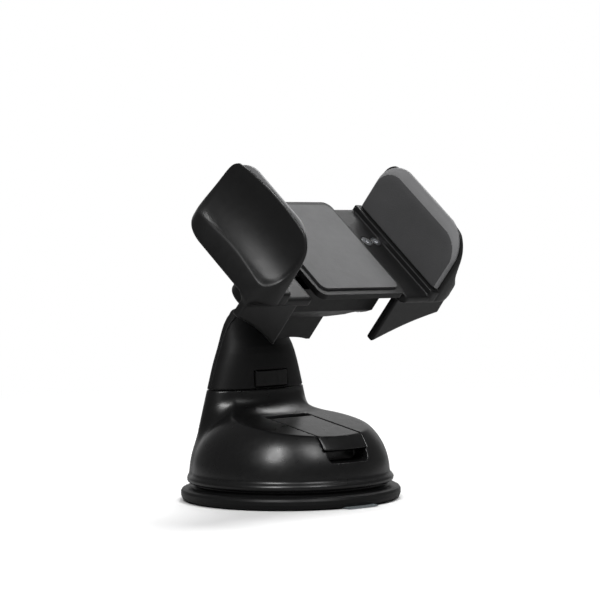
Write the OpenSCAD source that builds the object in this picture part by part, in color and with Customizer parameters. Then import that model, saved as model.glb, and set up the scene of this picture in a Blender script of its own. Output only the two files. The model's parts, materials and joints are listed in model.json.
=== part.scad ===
// Suction-base phone mount with a lever lock, a ball joint and a spring cradle.
// Origin: centre of the suction face. +Z up, the lever points to -Y.

/* [Suction base] */
// Outer radius of the suction cup
cup_r = 35; // [34:0.5:36]
// Height of the cup's rim
rim_h = 4; // [3.8:0.1:4.2]
// Radius of the domed cover at its foot
dome_r = 31.6; // [31.2:0.2:32]
// Height of the dome above its foot, before the top is cut flat
dome_h = 23.5; // [23:0.5:24]
// Height of the flat top over the cup's centre
top_z = 25.9; // [25.5:0.1:26.3]
// Slope of the flat top down to the front, degrees
top_slope = 8.8; // [8:0.2:9.6]
// Wall of the domed cover
wall = 2.2; // [2:0.1:2.4]

/* [Lever] */
// Width of the lever plate
lever_w = 16.8; // [16:0.2:17.2]
// Height of the lever's pivot
pivot_z = 20.6; // [20.4:0.1:20.8]
// Gap between lever and cover
lever_gap = 0.35; // [0.3:0.05:0.45]

/* [Neck] */
// Height of the joint line between cover and neck
seam_z = 34.4; // [34:0.1:34.8]
// Half width of the neck at the joint line
neck_half = 18.2; // [17.8:0.1:18.4]
// Width of the latch on the neck's front
latch_w = 12.3; // [11.5:0.1:12.6]

/* [Ball joint] */
// Ball radius
ball_r = 6.2; // [6.1:0.05:6.25]
// Ball centre, behind the cup's centre
ball_y = 12.2; // [12.1:0.1:12.4]
// Ball centre, height
ball_z = 66.2; // [66.1:0.1:66.4]
// Cradle lean from flat, degrees
head_tilt = 39.1; // [38:0.1:40]
// Cradle turn to the side, degrees
head_yaw = 10.6; // [9:0.2:11]
// Cradle turn about its own face, degrees
head_spin = -3.4; // [-4:0.2:0]

/* [Cradle] */
// Opening between the pads
grip = 67; // [66:0.5:68]
// Height of an arm, along the phone
arm_h = 45.2; // [45:0.2:46]
// Reach of an arm in front of the phone's back
arm_reach = 20.2; // [20:0.1:20.5]
// Width of the central block that holds the ball socket
block_w = 18.5; // [18.5:0.1:19]
// Teeth on the pinion
teeth = 14; // [14:1:14]
// Gear module
gear_m = 0.6; // [0.6:0.01:0.6]

/* [Hidden] */
$fn = 64;
eps = 0.01;

// Colours
black = [0.07, 0.07, 0.075];
soft_black = [0.11, 0.11, 0.115];
pad_grey = [0.2, 0.2, 0.21];
steel = [0.7, 0.71, 0.73];
white = [0.85, 0.85, 0.83];
clear_blue = [0.75, 0.82, 0.85];

// Screws: shank, hole, head
screw_r = 1.2;
hole_r = 1.25;
head_r = 2.3;
head_h = 1.5;
arm_shank_r = 1;
arm_hole_r = 1.05;
arm_head_r = 1.85;
arm_head_h = 1.3;

// Base levels
gel_t = 0.8;
ring_z = 5.4;
ring_r = 30.6;
dome_z = 7;
dome_n = 2.3;
flange_z = 6.7;
flange_bead = 1.1;
web_z = 10.5;
web_t = 2;
stud_r = 3.5;
stud_hole_r = 3.56;
pin_r = 1.5;
pin_hole_r = 1.55;
screw_ring_r = 20;

// Neck outline slices: height, half width, front y, back y
collar_slices = [[6.5, 24.8, 8, 29], [12, 24.1, 8, 29], [24, 20.9, 8.4, 28.2],
    [30, 19.3, 8.8, 27.5], [seam_z - 0.2, neck_half, 9, 27]];
fillet_slices = [[34, neck_half, 9, 27], [31, 18.8, 8.2, 27], [28.6, 19.3, 6.2, 27],
    [26.2, 19.9, 2.6, 27], [19, 17.4, 4.6, 26.8]];
neck_slices = [[seam_z + 0.2, neck_half - 0.1, 9, 27], [42.5, 15.8, 9, 26.6], [48, 13.8, 9.3, 25.8],
    [53, 11.7, 12.8, 25], [57, 9.4, 16, 24], [59.5, 5.6, 18.4, 22.6]];
split_y = 17.9;

// Ball joint levels, measured from the ball centre
liner_r = 7;
socket_r = 8;
fit = 0.05;
mouth = 56;
ring_in = 7.35;
ring_out = 8.3;
ring_start = 3.4;
back_depth = 5.2;
stalk_r = 2.9;

// Cradle levels: z = 0 is the phone's back, z runs out of the cradle
ball_cy = 11.6;
ball_cz = -28;
pad_x = grip / 2;
arm_x = pad_x + 1.85;
arm_half = arm_h / 2;
// Centre of the bow that the arms' tips and crests follow, below the phone's back
bow_y = -1;
bow_z = 80;
// Height of the foot's crest at the arm's middle
crest_z = 0.85;
shelf_top = -0.9;
shelf_low = -5.9;
foot_x = pad_x + 13.5;
tongue_top = -3;
tongue_x = 21.5;
cheek_y = -18.8;
cheek_t = 2.8;
cheek_in = 22.5;
seat_y = 3.9;
seat_w = 3.4;
seat_x = 24;
seat_end = 34.5;
arm_screw_x = [25.7, 30];
lid_top = -6.2;
lid_low = -7.8;
house_x = 21;
house_y = 13.5;
house_wall = 1.7;
floor_z = -18.3;
gear_z = -12;
gear_t = 3.4;
pitch_r = teeth * gear_m / 2;
rack_back = 2.7;
wheel_z = -14.3;
wheel_t = 1.9;
slider_z = -14.2;
press_travel = 2;

// ---------- shared shapes ----------

function super_r(z, r, h) = r * pow(max(1 - pow(max(z, 0) / h, dome_n), 0), 1 / dome_n);

// An ellipse-like slice of a neck outline
module slice(s, t = 0.1) {
    half_depth = (s[3] - s[2]) / 2;
    translate([0, (s[2] + s[3]) / 2, s[0]])
        scale([s[1], half_depth, 1])
            cylinder(r = 1, h = t, $fn = 48);
}

module loft(slices) {
    hull()
        for (s = slices)
            slice(s);
}

// The dome, its surface moved in by t
module dome(t) {
    steps = 22;
    h = dome_h - t;
    rotate_extrude($fn = 96)
        polygon(concat([[0, 0], [dome_r - t, 0]],
            [for (i = [0 : steps]) let (z = h * sin(90 * i / steps))
                [super_r(z, dome_r - t, h), dome_z + z]]));
}

// Everything below the sloping flat top, moved down by t
module under_top(t) {
    translate([0, 0, top_z])
        rotate([top_slope, 0, 0])
            translate([-60, -60, -80 - t])
                cube([120, 120, 80]);
}

module dome_body(t) {
    intersection() {
        dome(t);
        under_top(t);
    }
}

module tube(r_out, r_in, h) {
    difference() {
        cylinder(r = r_out, h = h);
        translate([0, 0, -1])
            cylinder(r = r_in, h = h + 2);
    }
}

// A pan-head screw, head down, shank up
module screw(len) {
    translate([0, 0, -head_h])
        difference() {
            cylinder(r = head_r, h = head_h);
            translate([0, 0, -eps])
                cylinder(r = 1, h = 0.9, $fn = 6);
        }
    cylinder(r = screw_r, h = len);
}

// A coil spring along +Z
module coil(r, wire, len, turns) {
    per_turn = 16;
    sides = 6;
    rings = per_turn * turns;
    points = [for (i = [0 : rings]) for (j = [0 : sides - 1])
        let (a = 360 * i / per_turn, b = 360 * j / sides, d = r + wire * cos(b))
            [d * cos(a), d * sin(a), wire + (len - 2 * wire) * i / rings + wire * sin(b)]];
    ring_faces = [for (i = [0 : rings - 1]) for (j = [0 : sides - 1])
        let (k = (j + 1) % sides)
            [i * sides + j, (i + 1) * sides + j, (i + 1) * sides + k, i * sides + k]];
    start = [for (j = [0 : sides - 1]) j];
    end = [for (j = [sides - 1 : -1 : 0]) rings * sides + j];
    polyhedron(points, concat(ring_faces, [start, end]), convexity = 10);
}

// Places a shape given in the ball's frame: +Z along the stalk's outward line
module at_ball(yaw) {
    translate([0, ball_y, ball_z])
        rotate([head_tilt, 0, yaw])
            children();
}

// Places a shape given in the cradle's frame
module at_cradle() {
    at_ball(head_yaw)
        rotate([0, 0, head_spin])
            translate([0, -ball_cy, -ball_cz])
                children();
}

// A flat outline with round corners, centred
module round_rect(w, h, r) {
    square([w - 2 * r, h], center = true);
    square([w, h - 2 * r], center = true);
    for (x = [-1, 1])
        for (y = [-1, 1])
            translate([x * (w / 2 - r), y * (h / 2 - r)])
                circle(r = r, $fn = 48);
}

// ---------- base ----------

module gel_pad() {
    tab_w = 11.5;
    color(clear_blue) {
        cylinder(r = 31.5, h = gel_t, $fn = 96);
        translate([-tab_w / 2, -cup_r - 1.6, 0.2])
            cube([tab_w, 8, gel_t - 0.4]);
    }
}

module suction_cup() {
    color(soft_black)
        difference() {
            rotate_extrude($fn = 96)
                polygon([[0, gel_t], [31.6, gel_t], [31.7, 0.1], [33.6, 0.1], [34.6, 0.7],
                    [cup_r, 1.7], [cup_r, 2.9], [34.6, 3.6], [33.8, rim_h], [32.4, rim_h],
                    [31.4, rim_h + 0.2], [ring_r, ring_z - 0.4], [ring_r, ring_z],
                    [27, ring_z], [12, 7.2], [0, 7.2]]);
            translate([0, 0, 2])
                cylinder(r = 9.3, h = 10);
            // Room for the gel pad's pull tab
            translate([-6, -cup_r - 2, -1])
                cube([12, 8, gel_t + 0.85]);
        }
}

module pressure_plate() {
    color(black)
        difference() {
            union() {
                difference() {
                    translate([0, 0, ring_z])
                        cylinder(r = 28.6, h = web_z + web_t - ring_z, $fn = 96);
                    translate([0, 0, ring_z - 1])
                        cylinder(r = 26.6, h = web_z - ring_z + 1, $fn = 96);
                }
                translate([0, 0, web_z])
                    cylinder(r = 6.2, h = 3.1);
            }
            translate([0, 0, web_z - 1])
                cylinder(r = stud_hole_r, h = 8);
            at_screw_ring()
                translate([0, 0, web_z - 1])
                    cylinder(r = hole_r, h = 4);
            // Relief under the finger recess
            translate([-11, -40, web_z + web_t - 1.2])
                cube([22, 19, 4]);
        }
}

module at_screw_ring() {
    for (a = [45, 135, 225, 315])
        rotate([0, 0, a])
            translate([screw_ring_r, 0, 0])
                children();
}

module lever_slot(gap) {
    half = lever_w / 2 + gap;
    translate([-half, -50, 17.7 - gap])
        cube([2 * half, 50 + 2.6 + gap, 20]);
}

// The finger recess under the lever's nose
module finger_recess(grow) {
    low = 13.8 - grow;
    top = 18 + grow;
    r = 3;
    half = 7.75 + grow;
    translate([0, -22.6 + grow, 0])
        rotate([90, 0, 0])
            linear_extrude(height = 12)
                union() {
                    translate([-half, low + r])
                        square([2 * half, top - low - r]);
                    translate([-half + r, low])
                        square([2 * half - 2 * r, r + 1]);
                    for (x = [-1, 1])
                        translate([x * (half - r), low + r])
                            circle(r = r);
                }
}

module base_cover() {
    pocket_t = 1.4;
    color(black)
        difference() {
            union() {
                difference() {
                    union() {
                        dome_body(0);
                        loft(collar_slices);
                        for (i = [0 : len(fillet_slices) - 2])
                            loft([fillet_slices[i], fillet_slices[i + 1]]);
                        rotate_extrude($fn = 96)
                            translate([31.8, flange_z])
                                circle(r = flange_bead, $fn = 32);
                    }
                    translate([0, 0, -1])
                        cylinder(r = 40, h = ring_z + 1 + 0.2);
                    dome_body(wall);
                    // Socket for the neck's tenon
                    hull() {
                        slice([16, 19, 10.9, 25.1]);
                        slice([seam_z + 0.1, 15.8, 11.3, 24.7]);
                    }
                    // Thin edge where the lever's hub turns
                    translate([-lever_w / 2 - lever_gap, -3, 17])
                        cube([lever_w + 2 * lever_gap, 9.5, 8]);
                }
                // Screw bosses
                intersection() {
                    dome_body(1);
                    at_screw_ring()
                        translate([0, 0, web_z + web_t])
                            cylinder(r = 3, h = 10.5);
                }
                // Closed pocket behind the finger recess
                intersection() {
                    dome_body(0.5);
                    translate([-7.75 - pocket_t, -32, 13.8 - pocket_t])
                        cube([15.5 + 2 * pocket_t, 32 - 22.6 + pocket_t, 4.2 + pocket_t - 0.6]);
                }
            }
            lever_slot(lever_gap);
            finger_recess(0);
            at_screw_ring()
                translate([0, 0, web_z + web_t - 1])
                    cylinder(r = hole_r, h = 8);
        }
}

module base_screws() {
    color(steel)
        at_screw_ring()
            translate([0, 0, web_z])
                screw(8.5);
}

module cup_spring() {
    color(steel)
        translate([0, 0, 6.65])
            coil(6.4, 0.45, web_z - 6.7, 3);
}

module stud_plate() {
    color(steel)
        translate([0, 0, 3.7])
            tube(8.9, stud_r + 0.02, 2.9);
}

module pull_stud() {
    eye_top = pivot_z + 3;
    color(steel)
        difference() {
            union() {
                translate([0, 0, 3.7])
                    cylinder(r = stud_r, h = 13);
                intersection() {
                    translate([0, 0, 16])
                        cylinder(r = stud_r, h = eye_top - 16);
                    translate([-stud_r, -5, 16])
                        cube([2 * stud_r, 10, eye_top - 16]);
                }
            }
            translate([-10, 0, pivot_z])
                rotate([0, 90, 0])
                    cylinder(r = pin_hole_r - 0.02, h = 20);
            translate([0, 0, pivot_z - 0.2])
                difference() {
                    translate([-5, -5, 0])
                        cube([10, 10, 8]);
                    translate([-10, 0, 0.2])
                        rotate([0, 90, 0])
                            cylinder(r = 3, h = 20);
                }
        }
}

module lever_pin() {
    color(steel)
        translate([-7.9, 0, pivot_z])
            rotate([0, 90, 0])
                cylinder(r = pin_r, h = 15.8);
}

module lock_lever() {
    hub_r = (top_z - pivot_z) * cos(top_slope) - 0.25;
    half = lever_w / 2;
    nose_low = 17.7;
    color(black)
        difference() {
            union() {
                // Plate and nose follow the cover's surface
                intersection() {
                    difference() {
                        dome_body(0.02);
                        dome_body(wall);
                    }
                    translate([-half, -50, nose_low])
                        cube([lever_w, 50 - 0.8, 20]);
                }
                // Cam hub around the pin
                translate([-half, 0, pivot_z])
                    rotate([0, 90, 0])
                        cylinder(r = hub_r, h = lever_w);
                // Ribs under the plate
                intersection() {
                    dome_body(1);
                    for (x = [-6.4, 6.4])
                        translate([x - 0.7, -22, 20.2])
                            cube([1.4, 22, 6]);
                }
            }
            // Slot for the stud's eye
            translate([-stud_r - 0.25, -6, 4])
                cube([2 * stud_r + 0.5, 12, pivot_z + 3.3 - 4]);
            translate([-10, 0, pivot_z])
                rotate([0, 90, 0])
                    cylinder(r = pin_hole_r, h = 20);
        }
}

// ---------- neck ----------

module neck_solid() {
    loft(neck_slices);
    // Tenon inside the cover's collar
    hull() {
        slice([24, 15.3, 11.7, 24.3]);
        slice([seam_z + 0.5, 15.3, 11.7, 24.3]);
    }
}

module neck_shell() {
    difference() {
        neck_solid();
        hull() {
            slice([23.8, 13.2, 13.9, 22.1]);
            slice([36.6, 13.2, 13.9, 22.1]);
        }
        loft([[36.5, 15.2, 11.3, 24.8], [46, 12.4, 11.5, 24], [50, 10.4, 13.6, 23.4]]);
    }
}

module at_neck_screws() {
    for (x = [-9.6, 9.6])
        translate([x, 0, 41.5])
            rotate([90, 0, 0])
                children();
}

// Everything taken out of both neck halves: screw holes and the stud's shank
module neck_holes() {
    at_neck_screws()
        translate([0, 0, -22.4])
            cylinder(r = hole_r, h = 9);
    at_neck_screws()
        translate([0, 0, -30])
            cylinder(r = head_r + 0.15, h = 30 - 22.3);
    at_ball(0) {
        translate([0, 0, -16.6])
            cylinder(r = 2.23, h = 16.6);
        translate([0, 0, -13.63])
            cylinder(r = 3.63, h = 1.66);
        translate([0, 0, -9.03])
            cylinder(r = stalk_r + 0.03, h = 9.03);
    }
}

module neck_bosses() {
    intersection() {
        loft(neck_slices);
        at_neck_screws()
            translate([0, 0, -26])
                cylinder(r = 3.6, h = 16);
    }
}

module neck_front() {
    color(black)
        difference() {
            intersection() {
                union() {
                    neck_shell();
                    neck_bosses();
                }
                translate([-30, 0, 20])
                    cube([60, split_y, 60]);
            }
            neck_holes();
            translate([-latch_w / 2 - 0.15, 0, 35.2])
                cube([latch_w + 0.3, 14.2, 5.1]);
        }
}

module neck_rear() {
    color(black)
        difference() {
            intersection() {
                union() {
                    neck_shell();
                    neck_bosses();
                }
                translate([-30, split_y, 20])
                    cube([60, 20, 60]);
            }
            neck_holes();
        }
}

module neck_screws() {
    color(steel)
        at_neck_screws()
            translate([0, 0, -22.3])
                screw(8.4);
}

module neck_latch() {
    body_w = 11;
    color(soft_black) {
        intersection() {
            translate([0, -0.35, 0])
                loft(neck_slices);
            translate([-latch_w / 2, 0, 35.35])
                cube([latch_w, 11.7, 4.8]);
        }
        translate([-body_w / 2, 11, 36.8])
            cube([body_w, 2.1, 3.2]);
        // Stop ears behind the wall
        translate([-7.2, 12.4, 36.8])
            cube([14.4, 0.7, 0.9]);
    }
}

module latch_spring() {
    color(steel)
        translate([0, 24.4, 38.9])
            rotate([90, 0, 0])
                coil(1.8, 0.25, 10, 6);
}

// ---------- ball joint ----------

module ball_stud() {
    color(steel)
        at_ball(0) {
            sphere(r = ball_r, $fn = 64);
            translate([0, 0, -9])
                cylinder(r = stalk_r, h = 6);
            translate([0, 0, -16.5])
                cylinder(r = 2.2, h = 10);
            translate([0, 0, -13.6])
                cylinder(r = 3.6, h = 1.6);
        }
}

module ball_liner() {
    color(white)
        at_ball(head_yaw)
            difference() {
                sphere(r = liner_r, $fn = 64);
                sphere(r = ball_r + fit, $fn = 64);
                // Front opening and stalk opening
                translate([0, 0, 5.6])
                    cylinder(r = 10, h = 10);
                translate([0, 0, -14])
                    cylinder(r = 10, h = 14 - liner_r * cos(mouth));
            }
}

module socket_cup() {
    color(soft_black)
        at_ball(head_yaw)
            difference() {
                sphere(r = socket_r, $fn = 64);
                sphere(r = liner_r + fit, $fn = 64);
                translate([0, 0, -14])
                    cylinder(r = 12, h = 14 - socket_r * cos(mouth));
            }
}

// ---------- cradle ----------

// Section of the housing in x and z, moved in by t
module house_section(t, top) {
    x0 = house_x - t;
    x1 = block_w / 2;
    deep = -22.8 + t * 2.6;
    side = -17.6 + t * 1.15;
    polygon([[-x0, top], [x0, top], [x0, side], [x1 + t, deep], [-x1 - t, deep], [-x0, side]]);
}

// Extrudes an x-z section along the cradle's y, centred
module along_y(len) {
    rotate([90, 0, 0])
        linear_extrude(height = len, center = true)
            children();
}

// Extrudes a y-z outline along x
module along_x(len) {
    rotate([90, 0, 90])
        linear_extrude(height = len)
            children();
}

module at_house_screws() {
    for (x = [-17.2, 17.2])
        for (y = [-9.8, 9.8])
            translate([x, y, -16.2])
                children();
}

// Everything beyond the housing's sloping lower edge, which is moved in by t
module below_edge(t) {
    translate([0, -house_y - 0.5, -14.9])
        rotate([-53, 0, 0])
            translate([-30, -2, t - 10])
                cube([60, 14, 10]);
}

module back_housing() {
    block_low = -7;
    block_d = 12.1;
    cavity_y = house_y - house_wall;
    color(black)
        at_cradle()
            difference() {
                union() {
                    difference() {
                        along_y(2 * house_y)
                            house_section(0, lid_low);
                        below_edge(0);
                    }
                    // Block with the ball socket
                    translate([-block_w / 2, block_low, ball_cz - back_depth])
                        cube([block_w, ball_cy - block_low, block_d]);
                    translate([0, ball_cy, ball_cz - back_depth])
                        cylinder(r = block_w / 2, h = block_d);
                }
                // Mechanism space
                difference() {
                    intersection() {
                        along_y(2 * cavity_y)
                            house_section(house_wall, 0);
                        translate([-30, -30, floor_z])
                            cube([60, 60, 40]);
                    }
                    below_edge(1.3);
                }
                // Rack windows
                for (y = [-5.7, 5.7])
                    translate([-30, y - 2.5, gear_z - 0.2])
                        cube([60, 5, gear_t + 1.2]);
                // Release button window
                translate([-5.15, 0, -15.8])
                    cube([10.3, 20, 5.1]);
                // Ball socket, its mouth and its ring seat
                translate([0, ball_cy, ball_cz]) {
                    sphere(r = socket_r + fit, $fn = 64);
                    translate([0, 0, -ring_start])
                        cylinder(r = socket_r + fit, h = ring_start);
                    translate([0, 0, -back_depth - 1])
                        cylinder(r = ring_out + 0.03, h = back_depth + 1 - ring_start + 0.02);
                }
                // Hollow back of the block's lower end
                translate([0, -6, ball_cz - back_depth - 29])
                    rotate([90, 0, 0])
                        cylinder(r = 30, h = 14, center = true, $fn = 128);
                translate([0, 0, -21])
                    cylinder(r = pin_r + 0.03, h = 10);
                at_house_screws()
                    translate([0, 0, -8])
                        cylinder(r = head_r + 0.2, h = 8);
                at_house_screws()
                    cylinder(r = hole_r, h = 12);
            }
}

module lock_ring() {
    color(soft_black)
        at_cradle()
            translate([0, ball_cy, ball_cz - back_depth])
                tube(ring_out, ring_in, back_depth - ring_start);
}

module front_plate() {
    plate_h = arm_h - 0.4;
    color(black)
        at_cradle()
            difference() {
                union() {
                    translate([0, 0, -2.7])
                        linear_extrude(height = 1.9)
                            round_rect(39, plate_h, 3);
                    translate([-8.5, -11, lid_top])
                        cube([17, 22, 3.6]);
                    translate([-house_x, -house_y, lid_low])
                        cube([2 * house_x, 2 * house_y, lid_top - lid_low]);
                    // Bosses for the housing screws
                    at_house_screws()
                        translate([0, 0, 2.2])
                            cylinder(r = 1.95, h = 7);
                }
                translate([0, 0, -9])
                    cylinder(r = pin_r + 0.03, h = 4.5);
                at_house_screws()
                    translate([0, 0, 1])
                        cylinder(r = hole_r, h = 8.4);
                // Slots that the rack seats slide in
                for (a = [0, 180])
                    rotate([0, 0, a])
                        translate([seat_x - 12.3, seat_y - 0.3, lid_low - 1])
                            cube([10, seat_w + 0.6, lid_top - lid_low + 1 + eps]);
            }
}

module back_pad() {
    color(pad_grey)
        at_cradle()
            translate([0, 0, -0.8])
                linear_extrude(height = 0.75)
                    round_rect(35, arm_h - 5, 2.5);
}

module housing_screws() {
    color(steel)
        at_cradle()
            at_house_screws()
                screw(8.8);
}

// One involute flank point at radius r, angle in degrees from the tooth's centre line
function inv_deg(a) = (tan(a) * 180 / PI) - a;
function flank(r, r_base, half) =
    let (a = acos(min(r_base / r, 1))) half + inv_deg(20) - inv_deg(a);

module gear_outline(n, m, slack) {
    r_pitch = n * m / 2;
    r_base = r_pitch * cos(20);
    r_tip = r_pitch + 0.8 * m;
    r_root = r_pitch - 1.15 * m;
    half = 90 / n - slack * 90 / (PI * r_pitch);
    radii = [for (i = [0 : 5]) r_base + (r_tip - r_base) * i / 5];
    right = [for (r = radii) let (a = flank(r, r_base, half)) [r * cos(-a), r * sin(-a)]];
    left = [for (i = [5 : -1 : 0]) let (r = radii[i], a = flank(r, r_base, half)) [r * cos(a), r * sin(a)]];
    foot = flank(r_base, r_base, half);
    tooth = concat([[r_root * cos(-foot), r_root * sin(-foot)]], right, left,
        [[r_root * cos(foot), r_root * sin(foot)]]);
    polygon([for (k = [0 : n - 1]) for (p = tooth)
        let (a = 360 * k / n) [p[0] * cos(a) - p[1] * sin(a), p[0] * sin(a) + p[1] * cos(a)]]);
}

module pinion() {
    color(white)
        at_cradle()
            difference() {
                union() {
                    translate([0, 0, gear_z])
                        linear_extrude(height = gear_t)
                            rotate([0, 0, 90])
                                gear_outline(teeth, gear_m, 0.06);
                    translate([0, 0, -17.9])
                        cylinder(r = 2.4, h = 17.9 + gear_z + 0.5);
                }
                translate([0, 0, -20])
                    cylinder(r = pin_hole_r, h = 20);
            }
}

// Saw-tooth wheel fixed on the pinion's hub
module ratchet_wheel() {
    n = 16;
    tip_r = 6.4;
    color(steel)
        at_cradle()
            translate([0, 0, wheel_z])
                linear_extrude(height = wheel_t)
                    difference() {
                        polygon([for (k = [0 : n - 1]) for (p = [[5.4, 0], [tip_r, 1]])
                            let (a = 360 / n * (k + p[1] * 0.85)) [p[0] * cos(a), p[0] * sin(a)]]);
                        circle(r = 2.42);
                    }
}

module pinion_pin() {
    color(steel)
        at_cradle()
            translate([0, 0, -20.9])
                cylinder(r = pin_r, h = 16.2);
}

// Flat spiral spring that opens the arms
module clock_spring() {
    turns = 3.5;
    steps = 84;
    strip = 0.35;
    function spiral(i, off) = let (a = 360 * turns * i / steps, r = 2.9 + 5.6 * i / steps + off)
        [r * cos(a), r * sin(a)];
    color(steel)
        at_cradle()
            translate([0, 0, -17.6])
                linear_extrude(height = 2.4)
                    polygon(concat([for (i = [0 : steps]) spiral(i, 0)],
                        [for (i = [steps : -1 : 0]) spiral(i, strip)]));
}

module release_button() {
    win_r = 8;
    half = 10;
    color(soft_black)
        at_cradle() {
            // Slider plate around the ratchet wheel, with its tooth
            translate([0, 0, slider_z])
                linear_extrude(height = 1.7)
                    union() {
                        difference() {
                            translate([-half, -9.6])
                                square([2 * half, 21.2]);
                            circle(r = win_r);
                            translate([0, press_travel])
                                circle(r = win_r);
                            translate([-win_r, 0])
                                square([2 * win_r, press_travel]);
                        }
                        polygon([[-1.2, -8.2], [1.2, -8.2], [0.3, -6.8], [-0.3, -6.8]]);
                        // Ear that the return spring pushes on
                        translate([half - 1, -2])
                            square([6, 2]);
                    }
            // Finger pad
            difference() {
                translate([-5, 10.6, -15.65])
                    cube([10, 5.6, 4.8]);
                for (z = [-14.4, -13.2, -12])
                    translate([0, 16.4, z])
                        rotate([0, 90, 0])
                            cylinder(r = 0.4, h = 8, center = true, $fn = 16);
            }
        }
}

module button_spring() {
    color(steel)
        at_cradle()
            translate([12.9, -11.7, -14.2])
                rotate([-90, 0, 0])
                    coil(1.3, 0.22, 7.4, 6);
}

// Side view of an arm: height measured along z, round corners at the tip
module arm_outline(half, low, top, r) {
    translate([-half, low])
        square([2 * half, top - low - r]);
    translate([-half + r, low])
        square([2 * half - 2 * r, top - low]);
    for (y = [-1, 1])
        translate([y * (half - r), top - r])
            circle(r = r, $fn = 64);
}

// Plan of an arm's outer end, with its upper and lower corner radii
module foot_outline(high_r, low_r) {
    translate([0, -arm_half])
        square([foot_x - high_r, arm_h]);
    translate([0, -arm_half])
        square([foot_x - low_r, arm_half]);
    translate([0, low_r - arm_half])
        square([foot_x, arm_h - low_r - high_r]);
    translate([foot_x - high_r, arm_half - high_r])
        circle(r = high_r, $fn = 96);
    translate([foot_x - low_r, low_r - arm_half])
        circle(r = low_r, $fn = 96);
}

// Cuts a solid to the bow of an arm's tip; r is the bow's radius
module bow(r) {
    translate([0, bow_y, -bow_z])
        rotate([0, 90, 0])
            cylinder(r = r, h = 80, $fn = 180);
}

// The hollow over the foot: a fillet swept along the foot's bowed crest
module arm_hollow() {
    face = 37.2;
    fillet = 4.3;
    steps = 7;
    crest_r = bow_z + crest_z;
    corner = 4.5;
    intersection() {
        translate([0, bow_y, -bow_z])
            rotate([0, 90, 0])
                rotate_extrude($fn = 180)
                    polygon(concat([[crest_r + 30, face]],
                        [for (i = [0 : steps]) let (t = 90 * i / steps)
                            [crest_r + fillet * (1 - sin(t)), face + fillet * (1 - cos(t))]],
                        [[crest_r, 60], [crest_r + 30, 60]]));
        along_x(80)
            union() {
                translate([corner - 21.3, -10])
                    square([60, 60]);
                translate([-21.3, corner - 1.1])
                    square([60, 50]);
                translate([corner - 21.3, corner - 1.1])
                    circle(r = corner, $fn = 64);
            }
    }
}

// The right arm's plate, foot and tongue; the left one is its mirror image
module arm_solid() {
    tip = arm_reach;
    intersection() {
        union() {
            difference() {
                along_y(arm_h)
                    polygon([[arm_x, shelf_low], [arm_x, tip + 1], [arm_x + 0.9, tip + 1],
                        [arm_x + 1.15, 12], [arm_x + 1.95, 7.5], [arm_x + 3.25, 4],
                        [arm_x + 6.5, crest_z], [foot_x, -4.7], [foot_x - 0.4, shelf_low]]);
                arm_hollow();
            }
            along_y(arm_h)
                polygon([[pad_x - 1.5, shelf_low], [pad_x - 1.5, shelf_top],
                    [arm_x + 1, shelf_top], [arm_x + 1, shelf_low]]);
            along_y(arm_h)
                polygon([[tongue_x, shelf_low], [tongue_x, tongue_top],
                    [pad_x, tongue_top], [pad_x, shelf_low]]);
        }
        along_x(80)
            arm_outline(arm_half, shelf_low, tip + 0.4, 11.5);
        bow(bow_z + tip);
        translate([0, 0, -20])
            linear_extrude(height = 60)
                foot_outline(14.6, 9.5);
    }
}

// The cheek below the foot: a wall that deepens towards the cradle's middle
module arm_cheek() {
    steps = 8;
    deep = -12.6;
    cheek_out = foot_x - 1;
    translate([0, cheek_y + cheek_t / 2, 0])
        along_y(cheek_t)
            polygon(concat([[cheek_in, shelf_low + 1], [cheek_out - 2, shelf_low + 1],
                [cheek_out - 0.4, shelf_low - 0.3], [cheek_out, shelf_low - 1], [cheek_out, deep]],
                [for (i = [1 : steps]) let (f = i / steps)
                    [cheek_out + (cheek_in - cheek_out) * f, deep - 12 * f + 1.1 * sin(180 * f)]]));
}

// side is 1 with the rack above the pinion, -1 with the rack below it
module arm_body(side) {
    difference() {
        union() {
            arm_solid();
            arm_cheek();
            // Seat for the rack
            translate([seat_x, side * (seat_y + seat_w / 2) - seat_w / 2, -8.45])
                cube([seat_end - seat_x, seat_w, 3]);
        }
        for (x = arm_screw_x)
            translate([x, side * (seat_y + seat_w / 2), 0]) {
                translate([0, 0, -10])
                    cylinder(r = arm_hole_r, h = 10);
                translate([0, 0, tongue_top - arm_head_h])
                    cylinder(r = arm_head_r + 0.1, h = 3);
            }
    }
}

module pad_body() {
    slab = 0.1;
    hull() {
        translate([pad_x, 0, 0])
            along_x(slab)
                arm_outline(arm_half - 2.4, shelf_top + 0.1, arm_reach - 3.5, 8);
        translate([pad_x + 1, 0, 0])
            along_x(0.85)
                arm_outline(arm_half - 1.6, shelf_top + 0.1, arm_reach + 0.3, 10.5);
    }
}

// Rack teeth run along x at y = pitch radius, teeth facing the pinion
module rack_body() {
    p = PI * gear_m;
    slack = 0.06;
    low = pitch_r - 0.8 * gear_m;
    root = pitch_r + gear_m;
    rise = tan(20);
    foot = p / 4 - slack + (0.6 * gear_m + 0.4) * rise;
    crest = p / 4 - slack - 0.8 * gear_m * rise;
    difference() {
        translate([0, 0, gear_z + 0.1])
            linear_extrude(height = gear_t - 0.2)
                union() {
                    translate([-15, root])
                        square([seat_end + 15, rack_back]);
                    for (k = [-7 : 7])
                        translate([(k + 0.5) * p, 0])
                            polygon([[-foot, root + 0.1], [-crest, low], [crest, low], [foot, root + 0.1]]);
                    translate([seat_x, seat_y])
                        square([seat_end - seat_x, seat_w]);
                }
        for (x = arm_screw_x)
            translate([x, seat_y + seat_w / 2, -14])
                cylinder(r = arm_hole_r, h = 8);
    }
}

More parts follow.
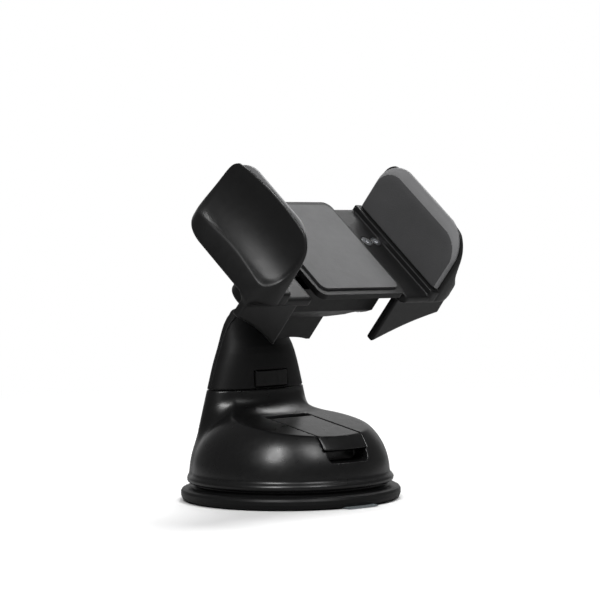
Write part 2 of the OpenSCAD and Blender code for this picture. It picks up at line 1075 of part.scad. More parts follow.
module arm_screw_pair() {
    for (x = arm_screw_x)
        translate([x, seat_y + seat_w / 2, tongue_top - 0.1]) {
            difference() {
                translate([0, 0, -arm_head_h + 0.1])
                    cylinder(r = arm_head_r, h = arm_head_h - 0.1);
                translate([0, 0, -0.7])
                    cylinder(r = 0.9, h = 1, $fn = 6);
            }
            translate([0, 0, -8.4])
                cylinder(r = arm_shank_r, h = 7.2);
        }
}

// Small parts of the left side: the right ones turned half a turn about the cradle's z
module left_side() {
    rotate([0, 0, 180])
        children();
}

module right_arm() {
    color(black) at_cradle() arm_body(1);
}

module left_arm() {
    color(black) at_cradle() mirror([1, 0, 0]) arm_body(-1);
}

module right_rack() {
    color(white) at_cradle() rack_body();
}

module left_rack() {
    color(white) at_cradle() left_side() rack_body();
}

module right_pad() {
    color(pad_grey) at_cradle() pad_body();
}

module left_pad() {
    color(pad_grey) at_cradle() mirror([1, 0, 0]) pad_body();
}

module right_arm_screws() {
    color(steel) at_cradle() arm_screw_pair();
}

module left_arm_screws() {
    color(steel) at_cradle() left_side() arm_screw_pair();
}

gel_pad();
suction_cup();
pressure_plate();
base_cover();
base_screws();
cup_spring();
stud_plate();
pull_stud();
lever_pin();
lock_lever();
neck_front();
neck_rear();
neck_screws();
neck_latch();
latch_spring();
ball_stud();
ball_liner();
socket_cup();
back_housing();
lock_ring();
front_plate();
back_pad();
housing_screws();
pinion();
ratchet_wheel();
pinion_pin();
clock_spring();
release_button();
button_spring();
left_arm();
right_arm();
left_rack();
right_rack();
left_pad();
right_pad();
left_arm_screws();
right_arm_screws();
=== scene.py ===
"""Looks of the car phone mount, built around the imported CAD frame.

Shape functions take points in millimetres and return distances in millimetres, negative inside.
"""
import json
import math

import bpy
import numpy as np
from mathutils import Matrix, Vector


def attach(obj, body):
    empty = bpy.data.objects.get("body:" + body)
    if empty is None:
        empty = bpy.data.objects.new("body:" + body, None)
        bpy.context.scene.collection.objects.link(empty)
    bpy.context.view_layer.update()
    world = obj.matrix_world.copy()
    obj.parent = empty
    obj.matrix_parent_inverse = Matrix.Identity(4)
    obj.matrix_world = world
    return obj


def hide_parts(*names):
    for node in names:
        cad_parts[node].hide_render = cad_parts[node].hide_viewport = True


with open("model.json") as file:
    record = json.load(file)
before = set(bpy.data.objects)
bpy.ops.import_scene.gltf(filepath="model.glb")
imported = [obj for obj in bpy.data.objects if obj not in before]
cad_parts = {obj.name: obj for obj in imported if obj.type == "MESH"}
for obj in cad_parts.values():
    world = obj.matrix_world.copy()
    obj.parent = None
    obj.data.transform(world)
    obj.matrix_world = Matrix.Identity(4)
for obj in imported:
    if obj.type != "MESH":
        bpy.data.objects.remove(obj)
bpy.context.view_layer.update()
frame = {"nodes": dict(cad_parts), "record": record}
record = frame["record"]
joints = {j["name"]: j for j in record["behaviour"]["joints"]}
mounts = {m["name"]: m for m in record["mounts"]}
scene = bpy.context.scene

# Cradle frame: x to the right arm, y along the phone, z out of the cradle
ORIGIN = np.array(mounts["phone_clamp"]["pos_m"]) * 1000
AX_W = np.array(joints["head_spin"]["axis"], dtype=float)
AX_V = np.array(joints["head_swing"]["axis"], dtype=float)
AX_U = -np.array(joints["left_arm_slide"]["axis"], dtype=float)
BALL = np.array(joints["head_tilt"]["pos_m"]) * 1000
CRADLE = np.stack([AX_U, AX_V, AX_W])


def cradle_to_world(p):
    return ORIGIN + p @ CRADLE


# ---------- implicit shapes ----------

def smin(a, b, k):
    """Smaller of two distances, blended over a width k."""
    h = np.maximum(k - np.abs(a - b), 0) / k
    return np.minimum(a, b) - h * h * k * 0.25


def smax(a, b, k):
    return -smin(-a, -b, k)


def box2(u, v, half_u, half_v, r):
    """Distance to a rectangle with round corners, centred."""
    du, dv = np.abs(u) - half_u + r, np.abs(v) - half_v + r
    return np.hypot(np.maximum(du, 0), np.maximum(dv, 0)) + np.minimum(np.maximum(du, dv), 0) - r


def box3(p, lo, hi):
    """Distance to a box with sharp edges."""
    lo, hi = np.array(lo, float), np.array(hi, float)
    q = np.abs(p - (lo + hi) / 2) - (hi - lo) / 2
    out = np.sqrt((np.maximum(q, 0) ** 2).sum(-1))
    return out + np.minimum(q.max(-1), 0)


def polygon2(u, v, pts):
    """Signed distance to a closed polygon, negative inside."""
    pts = [np.array(q, float) for q in pts]
    best = np.full(u.shape, 1e9)
    inside = np.zeros(u.shape, bool)
    for a, b in zip(pts, pts[1:] + pts[:1]):
        e = b - a
        wu, wv = u - a[0], v - a[1]
        t = np.clip((wu * e[0] + wv * e[1]) / (e @ e), 0, 1)
        best = np.minimum(best, (wu - t * e[0]) ** 2 + (wv - t * e[1]) ** 2)
        cross = (a[1] > v) != (b[1] > v)
        if abs(e[1]) > 1e-9:
            inside ^= cross & (u < a[0] + (v - a[1]) * e[0] / e[1])
    d = np.sqrt(best)
    return np.where(inside, -d, d)


OUTSIDE = 0.1  # distance written on the faces of the grid, so every mesh is closed
SETTLE_STEPS = 4
SETTLE_REACH = 0.4  # longest move of a point in one step, as a share of the grid step
GRADIENT_STEP = 0.02
LEAST_SLOPE = 0.05


def mesh_from(f, lo, hi, step):
    """Surface net of f = 0 inside a box, its points then moved onto the surface."""
    axes = [np.arange(a - step * 1.5, b + step * 1.5, step) for a, b in zip(lo, hi)]
    n = [len(a) for a in axes]
    grid = np.stack(np.meshgrid(*axes, indexing="ij"), -1)
    val = f(grid.reshape(-1, 3)).reshape(n)
    for ax in range(3):
        face = np.moveaxis(val, ax, 0)
        face[0], face[-1] = np.maximum(face[0], OUTSIDE), np.maximum(face[-1], OUTSIDE)
    neg = val < 0
    cells = [m - 1 for m in n]
    total, count = np.zeros(cells + [3]), np.zeros(cells)
    corner = [(i, j, k) for i in (0, 1) for j in (0, 1) for k in (0, 1)]

    def part(arr, c):
        return arr[c[0]:c[0] + cells[0], c[1]:c[1] + cells[1], c[2]:c[2] + cells[2]]

    for c in corner:
        for ax in range(3):
            if c[ax]:
                continue
            d = list(c)
            d[ax] = 1
            v0, v1 = part(val, c), part(val, d)
            hit = part(neg, c) != part(neg, d)
            t = np.where(hit, v0 / np.where(hit, v0 - v1, 1), 0)
            pos = np.empty(cells + [3])
            for a in range(3):
                pos[..., a] = c[a] + (t if a == ax else 0)
            total += pos * hit[..., None]
            count += hit
    active = count > 0
    ids = np.full(cells, -1)
    ids[active] = np.arange(active.sum())
    base = np.stack(np.meshgrid(*[np.arange(m) for m in cells], indexing="ij"), -1)
    pts = (base[active] + total[active] / count[active][:, None]) * step + np.array([a[0] for a in axes])
    quads = []
    for ax in range(3):
        lo_s = [slice(1, -1)] * 3
        hi_s = [slice(1, -1)] * 3
        lo_s[ax], hi_s[ax] = slice(0, -1), slice(1, None)
        a, b = neg[tuple(lo_s)], neg[tuple(hi_s)]
        idx = np.argwhere(a != b)
        flip = a[tuple(idx.T)]
        idx = idx + 1
        idx[:, ax] -= 1
        u, v = (ax + 1) % 3, (ax + 2) % 3
        ring = []
        for du, dv in ((-1, -1), (0, -1), (0, 0), (-1, 0)):
            q = idx.copy()
            q[:, u] += du
            q[:, v] += dv
            ring.append(ids[tuple(q.T)])
        ring = np.stack(ring, 1)
        ring[~flip] = ring[~flip][:, ::-1]
        quads.append(ring)
    quads = np.concatenate(quads)
    for _ in range(SETTLE_STEPS):
        d = f(pts)
        grad = np.stack([(f(pts + o) - f(pts - o)) / (2 * GRADIENT_STEP) for o in np.eye(3) * GRADIENT_STEP], 1)
        move = -d[:, None] * grad / np.maximum((grad ** 2).sum(1), LEAST_SLOPE)[:, None]
        size = np.linalg.norm(move, axis=1)
        move *= np.minimum(1, SETTLE_REACH * step / np.maximum(size, 1e-9))[:, None]
        pts = pts + move
    return pts, quads


def add_mesh(name, pts_mm, quads, body, material, node, second=None, use_second=None):
    """Smooth mesh riding a body in place of a CAD node; use_second picks the faces of the second material."""
    me = bpy.data.meshes.new(name)
    me.from_pydata((pts_mm / 1000).tolist(), [], quads.tolist())
    me.polygons.foreach_set("use_smooth", [True] * len(me.polygons))
    me.update()
    ob = bpy.data.objects.new(name, me)
    scene.collection.objects.link(ob)
    me.materials.append(material)
    if second:
        me.materials.append(second)
        me.polygons.foreach_set("material_index", use_second.astype(np.int32))
    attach(ob, body)
    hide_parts(node)


# ---------- materials ----------

DRIFT_SCALE, GLOSS_SCALE = 70.0, 420.0
GLOSS_SPREAD = 0.08
GRAIN_DEPTH = 0.0002


def moulded(name, color, rough, grain=5200.0, bump=0.05, spread=0.25, specular=0.5, bevel=0.0, metal=0.0):
    """Plastic, rubber or metal with a fine grain, slow colour drift and uneven gloss; bevel in millimetres."""
    mat = bpy.data.materials.new(name)
    mat.use_nodes = True
    nt = mat.node_tree
    nt.nodes.clear()
    out = nt.nodes.new("ShaderNodeOutputMaterial")
    bs = nt.nodes.new("ShaderNodeBsdfPrincipled")
    nt.links.new(bs.outputs[0], out.inputs[0])
    bs.inputs["Metallic"].default_value = metal
    bs.inputs["Specular IOR Level"].default_value = specular
    src = nt.nodes.new("ShaderNodeTexCoord").outputs["Object"]
    slow = nt.nodes.new("ShaderNodeTexNoise")
    slow.inputs["Scale"].default_value = DRIFT_SCALE
    slow.inputs["Detail"].default_value = 3.0
    nt.links.new(src, slow.inputs["Vector"])
    ramp = nt.nodes.new("ShaderNodeValToRGB")
    ramp.color_ramp.elements[0].position = 0.3
    ramp.color_ramp.elements[1].position = 0.7
    ramp.color_ramp.elements[0].color = (*[c * (1 - spread) for c in color], 1)
    ramp.color_ramp.elements[1].color = (*[min(c * (1 + spread), 1) for c in color], 1)
    nt.links.new(slow.outputs["Fac"], ramp.inputs[0])
    nt.links.new(ramp.outputs[0], bs.inputs["Base Color"])
    mid = nt.nodes.new("ShaderNodeTexNoise")
    mid.inputs["Scale"].default_value = GLOSS_SCALE
    mid.inputs["Detail"].default_value = 4.0
    nt.links.new(src, mid.inputs["Vector"])
    rr = nt.nodes.new("ShaderNodeMapRange")
    rr.inputs["To Min"].default_value = rough - GLOSS_SPREAD
    rr.inputs["To Max"].default_value = rough + GLOSS_SPREAD
    nt.links.new(mid.outputs["Fac"], rr.inputs["Value"])
    nt.links.new(rr.outputs[0], bs.inputs["Roughness"])
    fine = nt.nodes.new("ShaderNodeTexNoise")
    fine.inputs["Scale"].default_value = grain
    fine.inputs["Detail"].default_value = 2.0
    nt.links.new(src, fine.inputs["Vector"])
    bp = nt.nodes.new("ShaderNodeBump")
    bp.inputs["Strength"].default_value = bump
    bp.inputs["Distance"].default_value = GRAIN_DEPTH
    nt.links.new(fine.outputs["Fac"], bp.inputs["Height"])
    if bevel:
        bv = nt.nodes.new("ShaderNodeBevel")
        bv.samples = 4
        bv.inputs["Radius"].default_value = bevel / 1000
        nt.links.new(bv.outputs[0], bp.inputs["Normal"])
    nt.links.new(bp.outputs[0], bs.inputs["Normal"])
    return mat


M = {
    "shell": moulded("shell_satin_black", (0.006, 0.006, 0.0062), 0.3, bump=0.02, spread=0.12),
    "shell_cad": moulded("cover_black_edge", (0.006, 0.006, 0.0062), 0.3, bump=0.03, spread=0.12,
                         specular=0.3, bevel=0.3),
    "arm": moulded("arm_matt_black", (0.0085, 0.0085, 0.0087), 0.38, grain=4200, bump=0.12, spread=0.1,
                   specular=0.34),
    "arm_cad": moulded("cradle_matt_black", (0.008, 0.008, 0.0082), 0.45, grain=4200, bump=0.12, spread=0.1,
                       specular=0.26, bevel=0.35),
    "button": moulded("button_black", (0.01, 0.01, 0.0102), 0.4, grain=4600, bump=0.1, spread=0.15,
                      specular=0.3, bevel=0.3),
    "inner": moulded("inner_black", (0.03, 0.03, 0.031), 0.5, grain=3800, bump=0.12, bevel=0.2),
    "nylon": moulded("natural_nylon", (0.72, 0.71, 0.67), 0.42, grain=3000, bump=0.08, spread=0.06, bevel=0.12),
    "neck": moulded("neck_satin_black", (0.009, 0.009, 0.0093), 0.5, bump=0.02, spread=0.12, specular=0.22),
    "pad": moulded("pad_rubber", (0.068, 0.068, 0.07), 0.62, grain=2600, bump=0.25, spread=0.1, specular=0.4),
    # Same rubber as the pad, made lighter for the bevel faces: painted highlight standing for the light that falls
    # on the bevel
    "pad_painted_highlight": moulded("pad_bevel_rubber_painted_highlight", (0.22, 0.22, 0.224), 0.6, grain=2600, bump=0.2, spread=0.08,
                       specular=0.4),
    "cup": moulded("cup_rubber", (0.007, 0.007, 0.0072), 0.42, grain=2400, bump=0.08, spread=0.15,
                   specular=0.25, bevel=0.25),
    "zinc": moulded("zinc_plate", (0.62, 0.63, 0.65), 0.3, grain=1800, bump=0.06, spread=0.08, metal=1.0,
                    bevel=0.12),
    "dark_steel": moulded("dark_steel", (0.2, 0.2, 0.21), 0.25, grain=2600, bump=0.03, metal=1.0, bevel=0.15),
    "wire": moulded("spring_wire", (0.55, 0.56, 0.58), 0.28, grain=3500, bump=0.05, metal=1.0),
    "gel": moulded("clear_gel", (0.5, 0.55, 0.57), 0.2, grain=900, bump=0.05, spread=0.06),
}
gel = M["gel"].node_tree.nodes["Principled BSDF"]
gel.inputs["Transmission Weight"].default_value = 0.6
gel.inputs["IOR"].default_value = 1.42

# Nodes that a piece below replaces get a material too
NODES_OF_LOOK = {
    "arm_cad": "back_housing front_plate left_arm right_arm",
    "button": "neck_latch release_button",
    "cup": "suction_cup",
    "dark_steel": "ball_stud",
    "gel": "gel_pad",
    "inner": "pressure_plate socket_cup lock_ring",
    "nylon": "ball_liner pinion left_rack right_rack",
    "pad": "back_pad left_pad right_pad",
    "shell_cad": "base_cover lock_lever neck_front neck_rear",
    "wire": "cup_spring latch_spring clock_spring button_spring",
    "zinc": "base_screws stud_plate pull_stud lever_pin neck_screws housing_screws ratchet_wheel pinion_pin"
            " left_arm_screws right_arm_screws",
}
for look, names in NODES_OF_LOOK.items():
    for node_name in names.split():
        slots = frame["nodes"][node_name].data.materials
        slots.clear()
        slots.append(M[look])

# ---------- base cover, neck and lever ----------

DOME_R, DOME_H, DOME_Z, DOME_N = 31.6, 23.5, 7.0, 2.3
DOME_MEAN = 27.0  # turns the dome's unitless distance into millimetres
TOP_Z, TOP_SLOPE = 25.9, math.radians(8.8)
SEAM_Z, SEAM_HALF_GAP = 34.4, 0.12
SPLIT_Y = 17.9
WALL, NECK_WALL = 2.2, 2.4
LEVER_HALF, LEVER_LOW, GAP = 8.4, 17.7, 0.35
PIVOT_Z, HUB_R, PIN_R = 20.6, 4.95, 1.56
STUD_TILT = math.radians(39.1)
# Neck slices: height, half width, front and back
SLICES = np.array([
    [5.0, 25.0, 8, 29], [12, 24.1, 8, 29], [24, 20.9, 8.4, 28.2], [30, 19.3, 8.8, 27.5], [34.4, 18.15, 9, 27],
    [42.5, 15.8, 9, 26.6], [48, 13.8, 9.4, 25.8], [53, 11.7, 12.6, 25], [57, 9.4, 16, 24], [60, 5.8, 18.2, 22.7]])


def dome(p):
    """Superellipsoid cap standing on a short cylinder."""
    r = np.hypot(p[:, 0], p[:, 1]) / DOME_R
    z = np.maximum(p[:, 2] - DOME_Z, 0) / DOME_H
    q = (r ** DOME_N + z ** DOME_N) ** (1 / DOME_N)
    return (q - 1) * DOME_MEAN


def flat_top(p):
    return (p[:, 2] - TOP_Z) * math.cos(TOP_SLOPE) - p[:, 1] * math.sin(TOP_SLOPE)


def neck_field(p):
    """Elliptic column through the slices, its profile averaged over three heights."""
    z = p[:, 2]
    taps = ((-2.2, 0.25), (0, 0.5), (2.2, 0.25))
    wide, front, back = [
        sum(w * np.interp(z + dz, SLICES[:, 0], SLICES[:, i]) for dz, w in taps) for i in (1, 2, 3)]
    mid, half = (front + back) / 2, (back - front) / 2
    q = np.sqrt((p[:, 0] / wide) ** 2 + ((p[:, 1] - mid) / half) ** 2)
    return (q - 1) * half


def body_field(p):
    """Dome with its flat top, run into the neck with a hollow fillet."""
    soft = 0.35 + 1.1 / (1 + np.exp(-(p[:, 0] - 17) / 2))
    cap = smax(dome(p), flat_top(p), soft)
    side = 2.0 + 3.4 / (1 + np.exp(-(p[:, 2] - 26.5)))
    k = side + 3.0 / (1 + np.exp((p[:, 1] - 8) / 1.2))
    return smin(cap, neck_field(p), k)


def recess(p, grow=0.0):
    """Finger recess under the lever's lip."""
    opening = box2(p[:, 0], p[:, 2] - 16.8, 7.75 + grow, 3.0 + grow, 1.8)
    return np.maximum(opening, p[:, 1] + 22.6 - grow)


def lever_slot(p):
    return box3(p, (-LEVER_HALF - GAP, -50, LEVER_LOW - GAP), (LEVER_HALF + GAP, 2.6 + GAP, 60))


def cover_field(p):
    """Hollow cover with a bead at its foot, the lever's slot and the recess with its own wall."""
    skin = body_field(p)
    shell = np.maximum(skin, -(skin + WALL))
    pocket = np.maximum(np.maximum(recess(p, 1.3), -p[:, 1] - 32), skin + 0.4)
    shell = np.minimum(shell, np.maximum(pocket, p[:, 2] - 17.0))
    bead = np.hypot(np.hypot(p[:, 0], p[:, 1]) - 31.7, p[:, 2] - 6.7) - 1.05
    shell = smin(shell, bead, 1.3)
    shell = smax(shell, p[:, 2] - (SEAM_Z - SEAM_HALF_GAP), 0.3)
    shell = np.maximum(shell, 5.65 - p[:, 2])
    shell = np.maximum(shell, -lever_slot(p))
    return smax(shell, -recess(p), 0.25)


def lever_field(p):
    """Lever: a plate that carries on the cover's surface, two ribs and a hub on the pin."""
    skin = body_field(p)
    plate = np.maximum(np.maximum(skin + 0.03, -(skin + 2.0)), p[:, 1] + 0.8)
    plate = smax(plate, np.abs(p[:, 0]) - LEVER_HALF, 0.5)
    plate = smax(plate, LEVER_LOW - p[:, 2], 0.5)
    hub = np.hypot(p[:, 1], p[:, 2] - PIVOT_Z) - HUB_R
    hub = np.maximum(hub, np.abs(p[:, 0]) - LEVER_HALF)
    ribs = np.maximum(np.abs(np.abs(p[:, 0]) - 6.0) - 0.7, np.maximum(skin + 1, np.abs(p[:, 1] + 11) - 11))
    ribs = np.maximum(ribs, 20.4 - p[:, 2])
    out = smin(np.minimum(plate, ribs), hub, 0.6)
    eye = box3(p, (-3.75, -6, 4), (3.75, 6, PIVOT_Z + 3.3))
    out = np.maximum(out, -eye)
    return np.maximum(out, PIN_R - np.hypot(p[:, 1], p[:, 2] - PIVOT_Z))


def neck_half_field(p, sign):
    """Front (sign 1) or rear (sign -1) half of the neck, with the room for its button, screws and ball stud."""
    skin = smax(neck_field(p), p[:, 2] - 59.9, 1.2)
    skin = smax(skin, SEAM_Z + SEAM_HALF_GAP - p[:, 2], 0.3)
    hollow = np.maximum(neck_field(p) + NECK_WALL, np.maximum(p[:, 2] - 50, 36.5 - p[:, 2]))
    out = np.maximum(skin, -hollow)
    out = np.maximum(out, sign * (p[:, 1] - SPLIT_Y))
    window = box3(p, (-6.5, -10, 34.95), (6.5, 14.0, 40.45))
    out = np.maximum(out, -window)
    for x in (-9.6, 9.6):
        r = np.hypot(p[:, 0] - x, p[:, 2] - 41.5)
        out = np.maximum(out, -np.maximum(r - 2.45, 22.3 - p[:, 1]))
        out = np.maximum(out, -np.maximum(r - 1.25, np.abs(p[:, 1] - 18) - 5))
    axis = np.array([0, -math.sin(STUD_TILT), math.cos(STUD_TILT)])
    along = (p - BALL) @ axis
    off = np.linalg.norm(p - BALL - along[:, None] * axis, axis=1)
    stalk = np.maximum(off - 2.93, np.abs(along + 4.5) - 4.53)
    shank = np.maximum(off - 2.23, np.abs(along + 8.3) - 8.3)
    collar = np.maximum(off - 3.63, np.abs(along + 12.8) - 0.83)
    return np.maximum(out, -np.minimum(np.minimum(stalk, shank), collar))


quality = 0.4  # grid step
pts, quads = mesh_from(cover_field, (-33.2, -33.2, 5.4), (33.2, 33.2, 34.6), quality)
add_mesh("cover_shell", pts, quads, "base", M["shell"], "base_cover")
pts, quads = mesh_from(lever_field, (-8.6, -30, 15), (8.6, 5.2, 26.2), quality * 0.75)
add_mesh("lever_plate", pts, quads, "lever", M["shell"], "lock_lever")
for half_name, sign, front_y, back_y in (("front", 1, 8, 18), ("rear", -1, 17.6, 27.4)):
    pts, quads = mesh_from(lambda p: neck_half_field(p, sign), (-18.6, front_y, 34.2), (18.6, back_y, 60.2),
                           quality * 0.9)
    add_mesh("neck_shell_" + half_name, pts, quads, "base", M["neck"], "neck_" + half_name)

# ---------- arms and pads, in the cradle frame ----------

PAD_X, ARM_X, FOOT_X = 33.5, 35.35, 47.0
ARM_HALF, REACH = 22.6, 20.2
SHELF_LOW, SHELF_TOP = -5.9, -0.9
BOW_Y, BOW_Z, RIDGE = -2.5, 80.0, 2.2
SWEEP_R = 20
RACK_Y, RACK_HALF = 5.6, 1.7
ARM_SCREW_X, HEAD_R, CORE_R = (25.7, 30.0), 1.95, 1.05
CHEEK_SPANS = 8
PAD_THICK, RIM_X = 1.85, 1.2


def quadrant(u, v, r):
    """Region u > 0 and v > 0 with its inner corner rounded, negative inside."""
    a, b = r - u, r - v
    return np.minimum(np.maximum(a, b), 0) + np.hypot(np.maximum(a, 0), np.maximum(b, 0)) - r


def corner_outline(x, y):
    """Plan of the arm's outer end: a big round upper corner and a smaller lower one."""
    r = np.where(y > 0, 14.6, 9.5)
    return quadrant(FOOT_X - x, ARM_HALF - np.abs(y), r)


def side_outline(y, z, half, top, r):
    """Outline of an arm or a pad seen from the side, with round upper corners."""
    return quadrant(half - np.abs(y), top - z, r)


def arm_field(p, rack):
    """Arm with its swept outer face, shelf, tongue and cheeks; rack is the side its rack lies on."""
    x, y, z = p[:, 0], p[:, 1], p[:, 2]
    bow = np.hypot(y - BOW_Y, z + BOW_Z) - BOW_Z
    sect = polygon2(x, z, [
        (ARM_X, SHELF_LOW), (ARM_X, REACH + 3), (ARM_X + 1.2, REACH + 3), (ARM_X + 1.4, 16), (38.7, 9), (41.1, 5.3),
        (44.0, RIDGE), (FOOT_X, -4.7), (FOOT_X - 0.3, SHELF_LOW)])
    sweep = quadrant(x - ARM_X - 1.0, bow - RIDGE + 4.7, SWEEP_R)
    sweep = smax(sweep, quadrant(y + 21.6, z - RIDGE + 1.8, 5.0), 2.0)
    plate = smax(sect, -sweep, 0.35)
    shelf = box3(p, (PAD_X - 1.5, -60, SHELF_LOW), (ARM_X + 1, 60, SHELF_TOP))
    tongue = box3(p, (21.5, -60, SHELF_LOW), (PAD_X, 60, -3.0))
    solid = np.minimum(np.minimum(plate, shelf), tongue)
    tip = smax(bow - REACH, side_outline(y, z, ARM_HALF, REACH + 0.4, 11.5), 0.5)
    solid = smax(solid, tip, 0.9)
    solid = smax(solid, corner_outline(x, y), 2.4)
    steps = [i / CHEEK_SPANS for i in range(CHEEK_SPANS + 1)]
    low = [(46.0 - 23.5 * f, -12.6 - 12 * f + 1.1 * math.sin(math.pi * f)) for f in steps]
    cheek = polygon2(x, z, [(22.5, -4.9), (44.0, -4.9), (45.6, -6.2)] + low)
    cheek = smax(cheek, np.abs(y + 17.4) - 1.4, 0.6)
    solid = smin(solid, cheek, 2.4)
    mid = rack * RACK_Y
    seat = box3(p, (24, mid - RACK_HALF, -8.45), (34.5, mid + RACK_HALF, -5.4))
    solid = np.minimum(solid, seat)
    for screw_x in ARM_SCREW_X:
        r = np.hypot(x - screw_x, y - mid)
        solid = np.maximum(solid, -np.maximum(r - HEAD_R, -4.3 - z))
        solid = np.maximum(solid, CORE_R - r)
    return solid


def pad_field(p):
    """Rubber pad: flat face, wide bevel and a short side wall."""
    x, y, z = p[:, 0], p[:, 1], p[:, 2]
    depth = np.clip((PAD_X + RIM_X - x) / RIM_X, 0, 1)
    half, top = ARM_HALF - 1.6 - 0.8 * depth, REACH + 0.3 - 3.8 * depth
    out = side_outline(y, z, half, top, 10.5 - 2.5 * depth) * (0.35 + 0.65 * (depth <= 0))
    out = smax(out, SHELF_TOP + 0.1 - z, 0.5)
    out = smax(out, PAD_X - x, 0.7)
    return np.maximum(out, x - (PAD_X + PAD_THICK))


def flip(p, side):
    """Mirror image for the left side, where side is -1."""
    q = p.copy()
    q[:, 0] *= side
    return q


for side, label in ((1, "right"), (-1, "left")):
    pts, quads = mesh_from(lambda p: arm_field(p, side), (21.2, -23.2, -25.2), (47.4, 23.2, 20.6), quality)
    add_mesh(label + "_arm_shell", cradle_to_world(flip(pts, side)), quads[:, ::side], label + "_side", M["arm"],
             label + "_arm")
    pts, quads = mesh_from(pad_field, (33.2, -21.6, -1.2), (35.6, 21.6, 21), quality * 0.6)
    mid = pts[quads].mean(1)
    # Faces on the pad's bevel take the lighter rubber: painted highlight where the light falls on the bevel
    painted_highlight_faces = side_outline(mid[:, 1], mid[:, 2], ARM_HALF - 2.3, REACH - 3.4, 8) > 0
    add_mesh(label + "_grip_pad", cradle_to_world(flip(pts, side)), quads[:, ::side], label + "_side", M["pad"],
             label + "_pad", M["pad_painted_highlight"], painted_highlight_faces)

# ---------- floor, light, camera ----------

# The floor is a lit surface near the object, runs into plain white further off, and is grey in reflections
floor_mat = bpy.data.materials.new("floor_white")
floor_mat.use_nodes = True
fn = floor_mat.node_tree
fb = fn.nodes["Principled BSDF"]
fb.inputs["Base Color"].default_value = (0.94, 0.94, 0.94, 1)
fb.inputs["Roughness"].default_value = 0.9
fb.inputs["Specular IOR Level"].default_value = 0.1
glow = fn.nodes.new("ShaderNodeEmission")
fpos = fn.nodes.new("ShaderNodeTexCoord")
reach = fn.nodes.new("ShaderNodeVectorMath")
reach.operation = "LENGTH"
fn.links.new(fpos.outputs["Object"], reach.inputs[0])
spread = fn.nodes.new("ShaderNodeMapRange")
spread.interpolation_type = "SMOOTHSTEP"
spread.inputs["From Min"].default_value = 0.07
spread.inputs["From Max"].default_value = 0.4
fn.links.new(reach.outputs["Value"], spread.inputs["Value"])
blend = fn.nodes.new("ShaderNodeMixShader")
fn.links.new(spread.outputs[0], blend.inputs[0])
fn.links.new(fb.outputs[0], blend.inputs[1])
fn.links.new(glow.outputs[0], blend.inputs[2])
direct = fn.nodes.new("ShaderNodeLightPath")
final = fn.nodes.new("ShaderNodeMixShader")
fn.links.new(direct.outputs["Is Camera Ray"], final.inputs[0])
bounce = fn.nodes.new("ShaderNodeBsdfDiffuse")
bounce.inputs["Color"].default_value = (0.3, 0.3, 0.3, 1)
fn.links.new(bounce.outputs[0], final.inputs[1])
fn.links.new(blend.outputs[0], final.inputs[2])
fn.links.new(final.outputs[0], fn.nodes["Material Output"].inputs[0])
bpy.ops.mesh.primitive_plane_add(size=40, location=(0, 0, -0.00005))
floor = bpy.context.object
floor.name = "studio_floor"
floor.data.materials.append(floor_mat)

# Plain white to the camera; reflections see a dark studio, brighter towards one side behind the object
world = bpy.data.worlds.new("studio_world")
scene.world = world
world.use_nodes = True
wn = world.node_tree
sky = wn.nodes["Background"]
wc = wn.nodes.new("ShaderNodeTexCoord")
toward = wn.nodes.new("ShaderNodeVectorMath")
toward.operation = "DOT_PRODUCT"
toward.inputs[1].default_value = (0.62, 0.785, 0.1)
wn.links.new(wc.outputs["Generated"], toward.inputs[0])
fade = wn.nodes.new("ShaderNodeValToRGB")
fade.color_ramp.interpolation = "EASE"
fade.color_ramp.elements[0].position = 0.8
fade.color_ramp.elements[0].color = (0.11, 0.11, 0.11, 1)
fade.color_ramp.elements[1].position = 0.98
fade.color_ramp.elements[1].color = (0.6, 0.6, 0.6, 1)
wn.links.new(toward.outputs["Value"], fade.inputs[0])
wn.links.new(fade.outputs[0], sky.inputs[0])
plain = wn.nodes.new("ShaderNodeBackground")
plain.inputs[0].default_value = (1, 1, 1, 1)
seen = wn.nodes.new("ShaderNodeLightPath")
both = wn.nodes.new("ShaderNodeMixShader")
wn.links.new(seen.outputs["Is Camera Ray"], both.inputs[0])
wn.links.new(sky.outputs[0], both.inputs[1])
wn.links.new(plain.outputs[0], both.inputs[2])
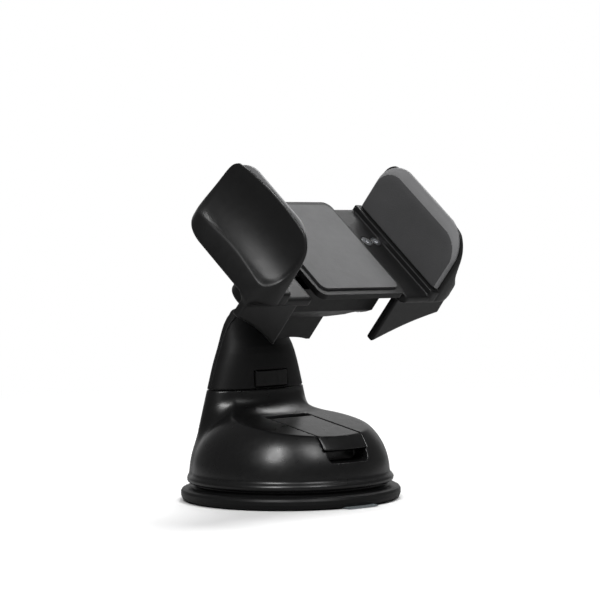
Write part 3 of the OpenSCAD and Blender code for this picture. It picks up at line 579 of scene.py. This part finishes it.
wn.links.new(both.outputs[0], wn.nodes["World Output"].inputs[0])


def softbox(name, pos, aim, size, power):
    """Rectangular area light; lengths in metres, power in watts."""
    data = bpy.data.lights.new(name, "AREA")
    data.shape = "RECTANGLE"
    data.size, data.size_y = size
    data.energy = power
    ob = bpy.data.objects.new(name, data)
    scene.collection.objects.link(ob)
    ob.location = pos
    ob.rotation_mode = "QUATERNION"
    ob.rotation_quaternion = (Vector(aim) - Vector(pos)).to_track_quat("-Z", "Y")


def around(azimuth, elevation, distance):
    """Place seen from the origin: azimuth from the lever's side, in degrees."""
    a, e = math.radians(azimuth), math.radians(elevation)
    return distance * math.sin(a) * math.cos(e), -distance * math.cos(a) * math.cos(e), distance * math.sin(e)


softbox("top_softbox", around(112, 64, 1.05), (0, 0, 0.03), (0.5, 0.5), 10.5)
softbox("key_softbox", around(-60, 45, 1.0), (0, 0, 0.04), (0.2, 0.46), 5.4)
softbox("second_softbox", around(-3, 48, 1.0), (0, 0, 0.04), (0.28, 0.42), 2.6)

AZ, EL, ROLL = math.radians(-38.3), math.radians(3.6), math.radians(-0.7)
DISTANCE, LENS = 1.045, 196.84
AIM_RIGHT, AIM_UP = 0.00287, 0.06297  # where the picture's centre lies, in metres from the origin
right = Vector((math.cos(AZ), math.sin(AZ), 0))
back = Vector((math.sin(AZ) * math.cos(EL), -math.cos(AZ) * math.cos(EL), math.sin(EL)))
up = back.cross(right)
view_right = right * math.cos(ROLL) + up * math.sin(ROLL)
view_up = up * math.cos(ROLL) - right * math.sin(ROLL)
cam_data = bpy.data.cameras.new("camera")
cam = bpy.data.objects.new("camera", cam_data)
scene.collection.objects.link(cam)
scene.camera = cam
cam_data.sensor_width = 36
cam_data.lens = LENS
cam_data.dof.use_dof = False
cam.location = view_right * AIM_RIGHT + view_up * AIM_UP + back * DISTANCE
cam.rotation_mode = "QUATERNION"
cam.rotation_quaternion = Matrix((view_right, view_up, back)).transposed().to_quaternion()
scene.view_settings.view_transform = "Standard"
